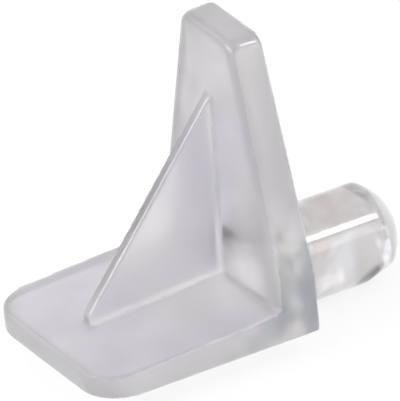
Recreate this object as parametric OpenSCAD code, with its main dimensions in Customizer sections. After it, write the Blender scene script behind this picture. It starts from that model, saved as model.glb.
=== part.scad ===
// Shelf support pin, moulded in one piece from clear plastic: a flat shelf
// plate, an upright plate that seats against the cabinet side, a thin rib that
// braces the two on the centre line, and a round peg that enters the hole.
// Millimetres. The origin is on the peg axis at the seat face. +Y runs out
// along the peg, +X across the width and +Z from the shelf plate to the top.
// In use the part is turned over about its peg, so that its flat bearing face,
// which looks down here, carries the shelf.

/* [Peg] */
// Diameter of the peg
peg_d = 6.35; // [4:0.05:8]
// Length of the peg, from the seat face to its tip
peg_len = 9.5; // [8.5:0.1:14]
// Length over which the peg is fully round, before the lead-in
peg_round_len = 6.45; // [3:0.05:8]
// Radius of the domed tip
nose_r = 3.75; // [3.3:0.05:5]
// Slope of the lead-in under the tip, in degrees
lead_angle = 20; // [5:1:30]
// Extra radius that makes the lead-in flatter than the peg
lead_flat = 0.1; // [0.05:0.05:1]
// Height of the peg axis above the bearing face
peg_axis_h = 1.4; // [0:0.05:4]

/* [Shelf plate] */
// Width of the part at the seat face
body_w = 14.8; // [12:0.1:24]
// Taper of each side of the shelf plate towards its front edge, in degrees
side_taper = 0.2; // [0:0.1:5]
// Depth of the shelf plate, from the seat face to its front edge
plate_depth = 15.75; // [12:0.05:30]
// Thickness of the shelf plate at its front edge
plate_front_t = 1.55; // [1.4:0.05:4]
// Thickness of the shelf plate at the seat face
plate_root_t = 2.35; // [1.4:0.05:4]
// Radius of the two front corners, seen from above
plate_corner_r = 2.8; // [0.5:0.1:5]
// Radius along the upper front edge
plate_edge_r = 0.6; // [0.1:0.05:1.2]

/* [Upright plate] */
// Height of the upright plate above the bearing face
upright_h = 19.4; // [15:0.1:35]
// Height of the straight sides above the bearing face
side_h = 3.8; // [2.6:0.1:8]
// Width that the sloping sides would reach at the top, before rounding
top_w = 6.4; // [4.5:0.1:11]
// Thickness of the upright plate at the bearing face
upright_base_t = 2.9; // [1.5:0.05:4.5]
// Thickness of the upright plate at its top
upright_top_t = 2.3; // [1:0.05:4]
// Radius of the two top corners
top_corner_r = 1.1; // [0.8:0.1:2.4]
// Radius of the bend from the straight sides to the sloping ones
side_bend_r = 8; // [1:0.5:10]
// Radius along the front edges of the upright plate
upright_edge_r = 0.8; // [0.1:0.05:0.9]
// Radius in the corner between the two plates
inner_r = 0.4; // [0.1:0.05:1.2]

/* [Rib] */
// Thickness of the rib
rib_t = 0.86; // [0.6:0.02:2]
// Distance from the top of the upright plate down to the top of the rib
rib_top_gap = 4.55; // [2:0.05:9]
// Distance from the front edge of the shelf plate to the front end of the rib
rib_front_gap = 3.1; // [1.5:0.05:7]
// Height of the rib's blunt front end above the shelf plate
rib_end_h = 0.75; // [0.4:0.05:3]
// Radius at the top of the blunt front end
rib_end_r = 0.4; // [0.1:0.05:0.8]
// Radius along both roots of the rib
rib_root_r = 0.3; // [0.1:0.05:0.8]

/* [Hidden] */
$fn = 96;
// how far cutting shapes and buried ends run past a face
over = 0.5;
// thickness of the slices that shape the upright plate, and their spacing in degrees
thin = 0.01;
rim_step = 15;
// steps in each arc of the upright's outline
arc_steps = 8;
bearing_z = -peg_axis_h;
top_z = bearing_z + upright_h;
front_y = -plate_depth;
// centre of the domed tip
dome_y = peg_len - nose_r;
// the lead-in is a tilted cylinder, whose underside meets the peg's at peg_round_len
lead_r = peg_d / 2 / cos(lead_angle) + lead_flat;
lead_y = peg_round_len - (lead_r / cos(lead_angle) - peg_d / 2) / tan(lead_angle);
// half width that the shelf plate has at its front edge
front_half = body_w / 2 - plate_depth * tan(side_taper);
// the two slanted faces, as rise and run from the bearing face
plate_rise = (plate_root_t - plate_front_t) / plate_depth;
wall_run = (upright_base_t - upright_top_t) / upright_h;
// slopes of the same faces as angles
plate_angle = atan(plate_rise);
wall_angle = atan(wall_run);
// inner corner, where the top of the shelf plate meets the upright's front face
inner_y = -(upright_base_t - wall_run * plate_root_t) / (1 + wall_run * plate_rise);
inner_z = bearing_z + plate_root_t + plate_rise * inner_y;
// ends of the rib's sloping edge, and its slope
rib_end_y = front_y + rib_front_gap;
rib_end_z = plate_z(rib_end_y) + rib_end_h;
rib_top_z = top_z - rib_top_gap;
rib_angle = atan2(rib_top_z - rib_end_z, wall_y(rib_top_z) - rib_end_y);

// height of the shelf plate's upper face at a distance y along the part
function plate_z(y) = bearing_z + plate_root_t + plate_rise * y;
// place of the upright's front face at a height z
function wall_y(z) = -upright_base_t + wall_run * (z - bearing_z);

// unit vector from one point to another
function toward(a, b) = (b - a) / norm(b - a);
// half of the angle at p between a and b
function half_angle(p, a, b) = acos(toward(p, a) * toward(p, b)) / 2;
// the two ends of an arc of radius r that rounds the corner p
function arc_ends(p, a, b, r) =
    let (reach = r / tan(half_angle(p, a, b)))
    [p + reach * toward(p, a), p + reach * toward(p, b)];
// the centre of that arc
function arc_centre(p, a, b, r) =
    let (mid = toward(p, a) + toward(p, b))
    p + mid / norm(mid) * r / sin(half_angle(p, a, b));

// points along that arc, from one end to the other
function arc_points(p, a, b, r) =
    let (
        centre = arc_centre(p, a, b, r),
        ends = arc_ends(p, a, b, r)
    )
    [
        for (i = [0 : arc_steps])
            let (share = i / arc_steps)
            centre + r * toward(centre, ends[0] * (1 - share) + ends[1] * share)
    ];

// fills the rounded corner p between a and b, out from the arc's centre
module rounded_corner(p, a, b, r) {
    centre = arc_centre(p, a, b, r);
    ends = arc_ends(p, a, b, r);
    intersection() {
        translate(centre)
            circle(r = r);
        polygon([centre, 2 * ends[0] - centre, 2 * p - centre, 2 * ends[1] - centre]);
    }
}

// convex outline whose corners are rounded by the radii in r, 0 for a sharp one
module rounded(pts, r) {
    n = len(pts);
    polygon([
        for (i = [0 : n - 1])
            each r[i] > 0
                ? arc_ends(pts[i], pts[(i + n - 1) % n], pts[(i + 1) % n], r[i])
                : [pts[i]]
    ]);
    for (i = [0 : n - 1])
        if (r[i] > 0)
            rounded_corner(pts[i], pts[(i + n - 1) % n], pts[(i + 1) % n], r[i]);
}

// draws a side profile, given as Y and Z, to a width w across the part
module across(w) {
    rotate([90, 0, 90])
        linear_extrude(height = w, center = true)
            children();
}

// draws a front outline, given as X and Z, forward from y by a depth d
module forward(y, d) {
    translate([0, y, 0])
        rotate([90, 0, 0])
            linear_extrude(height = d)
                children();
}

// outline of the shelf plate and the upright's foot, seen from above
module plan_outline() {
    back_half = body_w / 2 + over * tan(side_taper);
    rounded(
        [
            [back_half, over],
            [-back_half, over],
            [-front_half, front_y],
            [front_half, front_y]
        ],
        [0, 0, plate_corner_r, plate_corner_r]
    );
}

// outline of the upright plate, seen from the front, run on below the bearing face
module front_outline() {
    low_z = bearing_z - 2 * over;
    pts = [
        [body_w / 2, low_z],
        [body_w / 2, bearing_z + side_h],
        [top_w / 2, top_z],
        [-top_w / 2, top_z],
        [-body_w / 2, bearing_z + side_h],
        [-body_w / 2, low_z]
    ];
    polygon([
        pts[0],
        each arc_points(pts[1], pts[0], pts[2], side_bend_r),
        each arc_points(pts[2], pts[1], pts[3], top_corner_r),
        each arc_points(pts[3], pts[2], pts[4], top_corner_r),
        each arc_points(pts[4], pts[3], pts[5], side_bend_r),
        pts[5]
    ]);
}

// side profile of the shelf plate
module plate_profile() {
    low_front = [front_y, bearing_z];
    top_front = [front_y, plate_z(front_y)];
    top_back = [0, plate_z(0)];
    polygon([
        [0, bearing_z],
        top_back,
        each arc_points(top_front, top_back, low_front, plate_edge_r),
        low_front
    ]);
}

// side profile of the small round in the corner between the plates, with its
// back and its underside buried
module inner_corner_profile() {
    corner = [inner_y, inner_z];
    along_plate = [front_y, plate_z(front_y)];
    up_wall = [wall_y(top_z), top_z];
    polygon([
        each arc_points(corner, along_plate, up_wall, inner_r),
        corner + [over, inner_r],
        corner + [over, -over],
        corner - [inner_r, over]
    ]);
}

// shelf plate: its side profile across the part, trimmed to the plan
module shelf_plate() {
    intersection() {
        across(body_w + 2 * over)
            plate_profile();
        translate([0, 0, bearing_z - over])
            linear_extrude(height = max(plate_root_t, plate_front_t) + 2 * over)
                plan_outline();
    }
}

// small round in the corner between the plates, which runs out on each side
// where the upright's front edges start to turn back
module inner_round() {
    wall_half = body_w / 2 - upright_edge_r;
    reach = 2 * inner_r;
    intersection() {
        across(2 * wall_half)
            inner_corner_profile();
        translate([0, 0, bearing_z])
            linear_extrude(height = plate_root_t + reach)
                polygon([
                    [wall_half, inner_y + over],
                    [wall_half, inner_y],
                    [wall_half - reach, inner_y - reach],
                    [reach - wall_half, inner_y - reach],
                    [-wall_half, inner_y],
                    [-wall_half, inner_y + over]
                ]);
    }
}

// upright plate: one smooth shell with a rounded front rim, cut flat at the
// seat face and at the bearing face
module upright_plate() {
    intersection() {
        hull() {
            translate([0, over, 0])
                rotate([90, 0, 0])
                    linear_extrude(height = thin)
                        front_outline();
            translate([0, -upright_base_t, bearing_z])
                rotate([-wall_angle, 0, 0])
                    translate([0, 0, -bearing_z])
                        for (turn = [0 : rim_step : 90])
                            translate([0, upright_edge_r * (1 - sin(turn)) + thin, 0])
                                rotate([90, 0, 0])
                                    linear_extrude(height = thin)
                                        offset(delta = -upright_edge_r * (1 - cos(turn)))
                                            front_outline();
        }
        translate([-body_w, -plate_depth, bearing_z])
            cube([2 * body_w, plate_depth, upright_h]);
    }
}

// side profile of the rib, with its foot and its back buried in the plates
module rib_profile() {
    slope = [cos(rib_angle), sin(rib_angle)];
    rounded(
        [
            [rib_end_y, plate_z(rib_end_y) - over],
            [rib_end_y, rib_end_z],
            [wall_y(rib_top_z), rib_top_z] + over * slope,
            [inner_y + over, inner_z - over]
        ],
        [0, rib_end_r, 0, 0]
    );
}

// section across a root of the rib: its thickness and a round on each side
module root_section() {
    half_t = rib_t / 2;
    reach = half_t + rib_root_r;
    polygon([
        [-reach, -over],
        each arc_points([-half_t, 0], [-reach, 0], [-half_t, reach], rib_root_r),
        each arc_points([half_t, 0], [half_t, reach], [reach, 0], rib_root_r),
        [reach, -over]
    ]);
}

// rounds along the shelf plate and up the wall, which run out with the rib
module rib_roots() {
    intersection() {
        across(rib_t + 4 * rib_root_r)
            rib_profile();
        union() {
            translate([0, inner_y, inner_z])
                rotate([plate_angle, 0, 0])
                    forward(over, plate_depth)
                        root_section();
            translate([0, inner_y, inner_z])
                rotate([90 - wall_angle, 0, 0])
                    forward(over, upright_h)
                        root_section();
        }
    }
}

module rib() {
    across(rib_t)
        rib_profile();
    rib_roots();
}

// block round the peg, from inside the upright out to y
module round_peg_to(y) {
    translate([-peg_d, -2 * over, -peg_d])
        cube([2 * peg_d, y + 2 * over, 2 * peg_d]);
}

// round peg with a domed tip, eased underneath so that it finds the hole
module peg() {
    intersection() {
        difference() {
            translate([0, -over, 0])
                rotate([-90, 0, 0])
                    cylinder(d = peg_d, h = peg_len + over);
            // below the bearing face the peg starts flush with the seat face
            translate([-peg_d, -2 * over, bearing_z - peg_d])
                cube([2 * peg_d, 2 * over, peg_d]);
        }
        union() {
            round_peg_to(dome_y);
            translate([0, dome_y, 0])
                sphere(r = nose_r);
        }
        union() {
            round_peg_to(peg_round_len - over);
            translate([0, lead_y, 0])
                rotate([lead_angle - 90, 0, 0])
                    cylinder(r = lead_r, h = 3 * peg_len, center = true);
        }
    }
}

module shelf_support() {
    color([0.8, 0.79, 0.82, 0.75])
        union() {
            shelf_plate();
            upright_plate();
            inner_round();
            rib();
            peg();
        }
}

shelf_support();
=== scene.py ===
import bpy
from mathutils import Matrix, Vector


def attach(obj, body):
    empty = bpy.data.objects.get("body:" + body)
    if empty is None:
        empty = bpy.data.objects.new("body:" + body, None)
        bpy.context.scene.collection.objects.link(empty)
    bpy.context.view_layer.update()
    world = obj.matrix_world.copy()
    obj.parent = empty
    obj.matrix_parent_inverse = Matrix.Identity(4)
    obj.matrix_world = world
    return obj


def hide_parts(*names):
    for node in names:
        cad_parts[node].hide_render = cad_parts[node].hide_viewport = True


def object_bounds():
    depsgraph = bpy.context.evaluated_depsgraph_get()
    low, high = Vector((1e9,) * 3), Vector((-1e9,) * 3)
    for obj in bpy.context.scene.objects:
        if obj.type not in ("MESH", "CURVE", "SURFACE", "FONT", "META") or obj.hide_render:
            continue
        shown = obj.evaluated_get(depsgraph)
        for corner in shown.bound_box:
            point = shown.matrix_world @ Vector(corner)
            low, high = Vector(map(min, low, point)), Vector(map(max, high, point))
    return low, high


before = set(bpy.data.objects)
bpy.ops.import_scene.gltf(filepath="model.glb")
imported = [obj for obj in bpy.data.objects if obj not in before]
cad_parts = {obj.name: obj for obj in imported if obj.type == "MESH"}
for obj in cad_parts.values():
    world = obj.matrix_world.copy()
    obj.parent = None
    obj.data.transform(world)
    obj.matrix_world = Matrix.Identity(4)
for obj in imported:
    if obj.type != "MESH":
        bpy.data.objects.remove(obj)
cad_box = [list(map(float, corner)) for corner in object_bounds()]

import math

import bpy
from mathutils import Matrix, Vector

bpy.ops.object.select_all(action="DESELECT")
scene = bpy.context.scene

MM = 0.001                      # sizes and places are in metres

# ---------------------------------------------------------------- sizes
SKIN_STEP = 0.13 * MM           # spacing of the moulding's even skin
EDGE_SOFTNESS = 6               # how often the skin is eased, which rounds the moulded edges
SEAT_Y = 0.0                    # face that meets the cabinet side
FRONT_Y = cad_box[0][1]         # front edge of the shelf plate
CORNER_REACH = 2.8 * MM         # how far the front corners' rounding reaches back
TOP_Z = cad_box[1][2]           # top of the upright
EDGE_REACH = 0.8 * MM           # how far down the upright's top edges are rounded
RIB_HALF = 0.43 * MM            # half the rib's thickness
FLOOR_SIZE = 1.2
FLOOR_GAP = 0.01 * MM           # keeps the floor clear of the part's lowest point

# ---------------------------------------------------------------- finishes
SATIN, BRIGHT, RIM, THIN = 0, 1, 2, 3           # the moulding's material slots
# how far a face's normal leans one way for the face to count as facing that way
FACES_SIDE, FACES_FRONT, FACES_UP = 0.8, 0.6, 0.7
WHOLE_PART = 1.0                # drift reach that covers every face
ROOT_SHADE_REACH = 11.0 * MM          # drift reach of the rims' painted shade round the peg's root; it stops short of the plates' far edges
FADE_FROM = 0.7                 # share of its reach at which the drift starts to fade
TINT_BLEND = 0.14               # half width of the soft border between the two tints
RUB_LOW, RUB_HIGH = 0.35, 0.65  # noise levels of the most polished and the dullest spots
PLASTIC_IOR = 1.49
FLOOR_WHITE = 1.03              # strength at which the seen floor is white
FLOOR_SHARE = 0.8               # how much of that white covers the floor's own shading

# ---------------------------------------------------------------- view
AZIMUTH, ELEVATION, ROLL = 62.6, 28.05, 6.0     # degrees
DISTANCE = 1.0                  # from the aim point to the camera
AIM = Vector((-0.496, -3.512, 5.848)) * MM
VIEW_WIDTH = 25.157 * MM        # what fills the view's width at the aim point
SENSOR_WIDTH = 36.0             # in millimetres, as a lens is


# ---------------------------------------------------------------- helpers
def only(obj):
    """Selects one object and makes it active."""
    bpy.ops.object.select_all(action="DESELECT")
    obj.select_set(True)
    bpy.context.view_layer.objects.active = obj


def node(tree, kind, x, y, **values):
    """Adds a shader node at a place in the tree and sets its plain properties."""
    new = tree.nodes.new(kind)
    new.location = (x, y)
    for name, value in values.items():
        setattr(new, name, value)
    return new


def seen_rays(tree):
    """1 for rays from the camera, off a gloss or through clear plastic, otherwise 0."""
    path = node(tree, "ShaderNodeLightPath", -700, 300)
    either = node(tree, "ShaderNodeMath", -500, 300, operation="MAXIMUM")
    any_seen = node(tree, "ShaderNodeMath", -300, 300, operation="MAXIMUM")
    tree.links.new(path.outputs["Is Camera Ray"], either.inputs[0])
    tree.links.new(path.outputs["Is Glossy Ray"], either.inputs[1])
    tree.links.new(either.outputs[0], any_seen.inputs[0])
    tree.links.new(path.outputs["Is Transmission Ray"], any_seen.inputs[1])
    return any_seen.outputs[0]


# ---------------------------------------------------------------- materials
def moulded_surface():
    """What moulding leaves on clear plastic: uneven polish, a faint ripple and a drifting tint,
    which on the rims and the peg is painted shade and reflection.
    """
    group = bpy.data.node_groups.new("moulded surface", "ShaderNodeTree")
    sockets = group.interface
    for name, kind in (("Colour", "NodeSocketColor"), ("Drift and painted shade colour", "NodeSocketColor"),
                       ("Drift size", "NodeSocketFloat"), ("Drift level", "NodeSocketFloat"),
                       ("Drift reach", "NodeSocketFloat"), ("Polished", "NodeSocketFloat"),
                       ("Dull", "NodeSocketFloat"), ("Dull size", "NodeSocketFloat"),
                       ("Ripple size", "NodeSocketFloat")):
        sockets.new_socket(name, in_out="INPUT", socket_type=kind)
    for name, kind in (("Colour", "NodeSocketColor"), ("Roughness", "NodeSocketFloat"),
                       ("Ripple", "NodeSocketFloat")):
        sockets.new_socket(name, in_out="OUTPUT", socket_type=kind)
    given = node(group, "NodeGroupInput", -900, 0)
    result = node(group, "NodeGroupOutput", 500, 0)
    place = node(group, "ShaderNodeTexCoord", -900, -350)
    link = group.links.new

    drift_and_painted_shade = node(group, "ShaderNodeTexNoise", -600, 250)
    drift_and_painted_shade.inputs["Detail"].default_value = 2.0
    drift_and_painted_shade.inputs["Distortion"].default_value = 0.6
    link(place.outputs["Object"], drift_and_painted_shade.inputs["Vector"])
    link(given.outputs["Drift size"], drift_and_painted_shade.inputs["Scale"])
    spread = node(group, "ShaderNodeMapRange", -400, 250, interpolation_type="SMOOTHSTEP")
    for end, step, y in (("From Min", -TINT_BLEND, 600), ("From Max", TINT_BLEND, 450)):
        edge = node(group, "ShaderNodeMath", -600, y, operation="ADD")
        edge.inputs[1].default_value = step
        link(given.outputs["Drift level"], edge.inputs[0])
        link(edge.outputs[0], spread.inputs[end])
    link(drift_and_painted_shade.outputs["Fac"], spread.inputs["Value"])
    # the drift fades out at its reach from the peg's root, which is the origin; on the rims this
    # dark drift is painted shade round the root
    away = node(group, "ShaderNodeVectorMath", -600, 900, operation="LENGTH")
    link(place.outputs["Object"], away.inputs[0])
    share = node(group, "ShaderNodeMath", -400, 900, operation="DIVIDE")
    link(away.outputs["Value"], share.inputs[0])
    link(given.outputs["Drift reach"], share.inputs[1])
    fade = node(group, "ShaderNodeMapRange", -200, 900, interpolation_type="SMOOTHSTEP")
    fade.inputs["From Min"].default_value = FADE_FROM
    fade.inputs["To Min"].default_value = 1.0
    fade.inputs["To Max"].default_value = 0.0
    link(share.outputs[0], fade.inputs["Value"])
    near = node(group, "ShaderNodeMath", 0, 600, operation="MULTIPLY")
    link(spread.outputs["Result"], near.inputs[0])
    link(fade.outputs["Result"], near.inputs[1])
    tint = node(group, "ShaderNodeMix", -150, 250, data_type="RGBA")
    link(near.outputs[0], tint.inputs["Factor"])
    link(given.outputs["Colour"], tint.inputs["A"])
    link(given.outputs["Drift and painted shade colour"], tint.inputs["B"])
    link(tint.outputs["Result"], result.inputs["Colour"])

    rub = node(group, "ShaderNodeTexNoise", -600, -50)
    rub.inputs["Detail"].default_value = 4.0
    link(place.outputs["Object"], rub.inputs["Vector"])
    link(given.outputs["Dull size"], rub.inputs["Scale"])
    polish = node(group, "ShaderNodeMapRange", -400, -50, interpolation_type="SMOOTHSTEP")
    polish.inputs["From Min"].default_value = RUB_LOW
    polish.inputs["From Max"].default_value = RUB_HIGH
    link(rub.outputs["Fac"], polish.inputs["Value"])
    link(given.outputs["Polished"], polish.inputs["To Min"])
    link(given.outputs["Dull"], polish.inputs["To Max"])
    link(polish.outputs["Result"], result.inputs["Roughness"])

    ripple = node(group, "ShaderNodeTexNoise", -600, -350)
    ripple.inputs["Detail"].default_value = 1.0
    link(place.outputs["Object"], ripple.inputs["Vector"])
    link(given.outputs["Ripple size"], ripple.inputs["Scale"])
    link(ripple.outputs["Fac"], result.inputs["Ripple"])
    return group


def clear_plastic(name, surface, colour, drift_and_painted_shade, drift_size, drift_level, drift_reach,
                  polished, dull, dull_size, ripple_size, ripple_depth, gloss):
    """Clear moulded plastic: what passes through is hazed by its roughness, under a gloss skin."""
    mat = bpy.data.materials.new(name)
    mat.use_nodes = True
    tree = mat.node_tree
    shader = tree.nodes["Principled BSDF"]
    shader.inputs["Metallic"].default_value = 0.0
    shader.inputs["Transmission Weight"].default_value = 1.0
    shader.inputs["IOR"].default_value = PLASTIC_IOR
    shader.inputs["Coat Weight"].default_value = gloss
    shader.inputs["Coat Roughness"].default_value = 0.08
    skin = node(tree, "ShaderNodeGroup", -500, 100, node_tree=surface)
    skin.inputs["Colour"].default_value = (*colour, 1)
    skin.inputs["Drift and painted shade colour"].default_value = (*drift_and_painted_shade, 1)
    skin.inputs["Drift size"].default_value = drift_size
    skin.inputs["Drift level"].default_value = drift_level
    skin.inputs["Drift reach"].default_value = drift_reach
    skin.inputs["Polished"].default_value = polished
    skin.inputs["Dull"].default_value = dull
    skin.inputs["Dull size"].default_value = dull_size
    skin.inputs["Ripple size"].default_value = ripple_size
    bump = node(tree, "ShaderNodeBump", -250, -200)
    bump.inputs["Strength"].default_value = 1.0
    bump.inputs["Distance"].default_value = ripple_depth * MM
    tree.links.new(skin.outputs["Colour"], shader.inputs["Base Color"])
    tree.links.new(skin.outputs["Roughness"], shader.inputs["Roughness"])
    tree.links.new(skin.outputs["Ripple"], bump.inputs["Height"])
    tree.links.new(bump.outputs["Normal"], shader.inputs["Normal"])
    return mat


def pale_floor():
    """Plain white floor. It shows white when seen or seen through, and keeps a soft shadow."""
    mat = bpy.data.materials.new("pale floor")
    mat.use_nodes = True
    tree = mat.node_tree
    shader = tree.nodes["Principled BSDF"]
    shader.inputs["Base Color"].default_value = (0.9, 0.9, 0.9, 1)
    shader.inputs["Roughness"].default_value = 0.9
    shader.inputs["Specular IOR Level"].default_value = 0.0
    white = node(tree, "ShaderNodeEmission", 0, -250)
    white.inputs["Color"].default_value = (1, 1, 1, 1)
    white.inputs["Strength"].default_value = FLOOR_WHITE
    seen = seen_rays(tree)
    share = node(tree, "ShaderNodeMath", 0, 250, operation="MULTIPLY")
    share.inputs[1].default_value = FLOOR_SHARE
    mix = node(tree, "ShaderNodeMixShader", 250, 100)
    out = tree.nodes["Material Output"]
    out.location = (450, 100)
    tree.links.new(seen, share.inputs[0])
    tree.links.new(share.outputs[0], mix.inputs["Fac"])
    tree.links.new(shader.outputs[0], mix.inputs[1])
    tree.links.new(white.outputs[0], mix.inputs[2])
    tree.links.new(mix.outputs[0], out.inputs["Surface"])
    return mat


# ---------------------------------------------------------------- moulding
def finish_of(face):
    """The peg is bright; the plates' rims and the thin rib get a smoother polish and paler copies of
    the plastic, painted light on faces turned to the sides, to the front and up at the top.
    """
    if face.center.y > SEAT_Y + SKIN_STEP:
        return BRIGHT
    sideways = abs(face.normal.x) > FACES_SIDE
    if sideways and abs(face.center.x) < RIB_HALF + SKIN_STEP:
        return THIN
    at_front = face.normal.y < -FACES_FRONT and face.center.y < FRONT_Y + CORNER_REACH
    on_top = face.normal.z > FACES_UP and face.center.z > TOP_Z - EDGE_REACH
    return RIM if sideways or at_front or on_top else SATIN


def dress_moulding(finishes):
    """The whole moulding under one even skin with soft edges, in place of the plain solid."""
    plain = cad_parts["shelf_support"]
    moulding = plain.copy()
    moulding.data = plain.data.copy()
    moulding.name = "moulding"
    bpy.context.collection.objects.link(moulding)
    only(moulding)
    bpy.ops.object.mode_set(mode="EDIT")
    bpy.ops.mesh.select_all(action="SELECT")
    bpy.ops.mesh.remove_doubles(threshold=0.002 * MM)
    bpy.ops.mesh.normals_make_consistent(inside=False)
    bpy.ops.object.mode_set(mode="OBJECT")
    skin = moulding.modifiers.new("even skin", "REMESH")
    skin.mode = "VOXEL"
    skin.voxel_size = SKIN_STEP
    bpy.ops.object.modifier_apply(modifier=skin.name)
    ease = moulding.modifiers.new("soft edges", "SMOOTH")
    ease.factor = 0.5
    ease.iterations = EDGE_SOFTNESS
    bpy.ops.object.modifier_apply(modifier=ease.name)
    bpy.ops.object.shade_smooth()
    moulding.data.materials.clear()
    for finish in finishes:
        moulding.data.materials.append(finish)
    for face in moulding.data.polygons:
        face.material_index = finish_of(face)
    return moulding


# ---------------------------------------------------------------- stage
def lay_floor():
    """A plain pale floor just under the part's lowest point."""
    height = cad_box[0][2] - FLOOR_GAP
    bpy.ops.mesh.primitive_plane_add(size=FLOOR_SIZE, location=(0, 0, height))
    floor = bpy.context.active_object
    floor.name = "floor"
    bpy.ops.object.transform_apply(location=True, rotation=True, scale=True)
    floor.data.materials.append(pale_floor())


def light(name, at, aim, size, watts):
    """A soft box at a place, turned towards the point that it lights."""
    lamp = bpy.data.lights.new(name, "AREA")
    lamp.shape = "RECTANGLE"
    lamp.size, lamp.size_y = size
    lamp.energy = watts
    obj = bpy.data.objects.new(name, lamp)
    bpy.context.collection.objects.link(obj)
    obj.location = at
    obj.rotation_euler = (Vector(aim) - Vector(at)).to_track_quat("-Z", "Y").to_euler()


def studio_world():
    """Even studio light, which is white where it is seen, in a gloss or through the plastic."""
    world = bpy.data.worlds.new("studio")
    world.use_nodes = True
    scene.world = world
    tree = world.node_tree
    back = tree.nodes["Background"]
    out = tree.nodes["World Output"]
    out.location = (400, 0)
    back.inputs["Color"].default_value = (1, 1, 1, 1)
    back.inputs["Strength"].default_value = 0.75
    white = node(tree, "ShaderNodeBackground", 0, -200)
    white.inputs["Color"].default_value = (1, 1, 1, 1)
    white.inputs["Strength"].default_value = 1.0
    mix = node(tree, "ShaderNodeMixShader", 200, 0)
    tree.links.new(seen_rays(tree), mix.inputs["Fac"])
    tree.links.new(back.outputs[0], mix.inputs[1])
    tree.links.new(white.outputs[0], mix.inputs[2])
    tree.links.new(mix.outputs[0], out.inputs["Surface"])


# ---------------------------------------------------------------- camera
def place_camera():
    """A long lens from the front right and above, held with a slight roll."""
    a, e, r = (math.radians(v) for v in (AZIMUTH, ELEVATION, ROLL))
    right = Vector((math.cos(a), math.sin(a), 0))
    up = Vector((-math.sin(a) * math.sin(e), math.cos(a) * math.sin(e), math.cos(e)))
    ahead = Vector((-math.sin(a) * math.cos(e), math.cos(a) * math.cos(e), -math.sin(e)))
    rolled_right = math.cos(r) * right - math.sin(r) * up
    rolled_up = math.sin(r) * right + math.cos(r) * up
    lens = bpy.data.cameras.new("camera")
    lens.sensor_fit = "HORIZONTAL"
    lens.sensor_width = SENSOR_WIDTH
    lens.lens = SENSOR_WIDTH * DISTANCE / VIEW_WIDTH
    lens.clip_start = 0.01
    lens.clip_end = 10
    camera = bpy.data.objects.new("camera", lens)
    bpy.context.collection.objects.link(camera)
    turn = Matrix((rolled_right, rolled_up, -ahead)).transposed()
    camera.matrix_world = Matrix.Translation(AIM - ahead * DISTANCE) @ turn.to_4x4()
    scene.camera = camera


# ---------------------------------------------------------------- build
surface = moulded_surface()
satin = clear_plastic("satin plastic", surface,
                      colour=(0.735, 0.715, 0.775), drift_and_painted_shade=(0.76, 0.737, 0.755),
                      drift_size=150.0, drift_level=0.5, drift_reach=WHOLE_PART,
                      polished=0.36, dull=0.54, dull_size=400.0,
                      ripple_size=260.0, ripple_depth=0.12, gloss=0.7)
bright = clear_plastic("bright plastic with painted reflection", surface,
                       # painted reflection: the peg's brownish drift patches stand in for the
                       # surroundings seen through it
                       colour=(0.7, 0.69, 0.72), drift_and_painted_shade=(0.44, 0.405, 0.37),
                       drift_size=260.0, drift_level=0.53, drift_reach=WHOLE_PART,
                       polished=0.1, dull=0.18, dull_size=500.0,
                       ripple_size=500.0, ripple_depth=0.03, gloss=0.7)
# painted light: a paler copy of the plastic on faces turned to the sides, to the front and up at the
# top
rim = clear_plastic("rim plastic, painted light and shade", surface,
                    # painted shade: the rims' cool dark drift colour round the peg's root stands in
                    # for dark seen through the plastic
                    colour=(0.97, 0.945, 0.955), drift_and_painted_shade=(0.34, 0.37, 0.42),
                    drift_size=230.0, drift_level=0.5, drift_reach=ROOT_SHADE_REACH,
                    polished=0.3, dull=0.4, dull_size=400.0,
                    ripple_size=320.0, ripple_depth=0.1, gloss=0.8)
# painted light: a paler copy of the plastic on the rib's sides
thin = clear_plastic("thin rib plastic, painted lighter", surface,
                     colour=(0.9, 0.88, 0.93), drift_and_painted_shade=(0.97, 0.95, 0.96),
                     drift_size=150.0, drift_level=0.5, drift_reach=WHOLE_PART,
                     polished=0.36, dull=0.5, dull_size=400.0,
                     ripple_size=260.0, ripple_depth=0.12, gloss=0.7)
moulding = dress_moulding((satin, bright, rim, thin))
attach(moulding, "root")
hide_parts("shelf_support")

lay_floor()
studio_world()
place_camera()
light("side strip", at=(0.32, 0.163, 0.177), aim=(0, 0.004, 0), size=(0.16, 0.13), watts=0.12)
light("front strip", at=(-0.057, -0.378, 0.243), aim=(0, -0.003, 0.005), size=(0.5, 0.08), watts=1.3)
light("top", at=(0.21, 0.163, 0.33), aim=(0, -0.006, 0.004), size=(0.04, 0.12), watts=0.28)

scene.view_settings.view_transform = "Standard"
